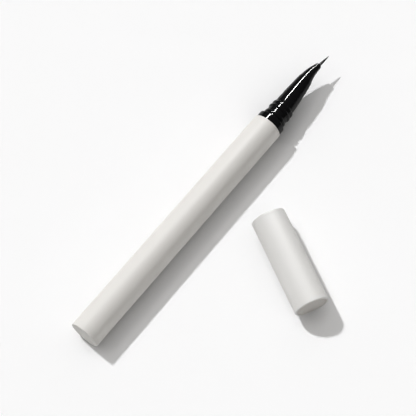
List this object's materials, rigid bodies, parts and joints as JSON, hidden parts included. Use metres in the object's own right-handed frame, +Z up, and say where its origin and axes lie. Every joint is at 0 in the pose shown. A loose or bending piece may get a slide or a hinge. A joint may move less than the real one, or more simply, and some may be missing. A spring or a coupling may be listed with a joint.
{
  "type": "liquid eyeliner pen",
  "caption": "Slim liquid eyeliner pen with a ringed black collar, a leaning nozzle with a fine brush, and its push-on cap lying beside it.",
  "frame": {"origin": "on the table, under the middle of the box that holds the pen and its cap", "axes": "+X along the pen from its tail to its brush, +Z up from the table, +Y to the pen's left"},
  "size_m": [0.1282, 0.0584, 0.0118],
  "materials": {
    "soft_white": "soft-touch warm white, finely grained",
    "gloss_black": "polished injection moulding",
    "natural_plastic": "uncoloured milky plastic",
    "ink_plastic": "milky plastic wetted by black ink",
    "seal_rubber": "smooth moulded rubber",
    "ball_steel": "polished bearing steel",
    "spring_steel": "drawn spring wire",
    "inked_fibre": "bonded fibre soaked with ink",
    "bristle_black": "fine tapered nylon filaments wet with ink"
  },
  "bodies": {
    "pen": {"barrel": "soft_white", "tail_plug": "soft_white", "ink_tank": "natural_plastic", "tank_stopper": "natural_plastic", "stopper_ring": "seal_rubber", "collector": "ink_plastic", "collector_gasket": "seal_rubber", "relay_core": "inked_fibre", "snap_collar": "gloss_black", "nozzle_cone": "gloss_black", "curved_tip": "gloss_black", "tip_wick": "inked_fibre", "brush": "bristle_black", "brush_retainer": "natural_plastic"},
    "ball": {"mixing_ball": "ball_steel"},
    "cap": {"cap_shell": "soft_white", "cap_end_disc": "soft_white", "cap_liner": "natural_plastic", "cap_spring": "spring_steel"},
    "inner_cap": {"inner_cap": "natural_plastic", "inner_cap_seal": "seal_rubber"}
  },
  "joints": [
    {"name": "cap_pull", "type": "slide", "parent": "pen", "child": "cap", "axis": [-0.4633, -0.8862, 0], "range_m": [0, 0.0314]},
    {"name": "seal_push", "type": "slide", "parent": "cap", "child": "inner_cap", "axis": [-0.4633, -0.8862, 0], "range_m": [0, 0.00125], "stiffness_N_per_m": 300, "springref_m": -0.002, "deforming": ["cap_spring"]},
    {"name": "ball_roll", "type": "slide", "parent": "pen", "child": "ball", "axis": [1, 0, 0], "range_m": [-0.0208, 0.0205]}
  ]
}
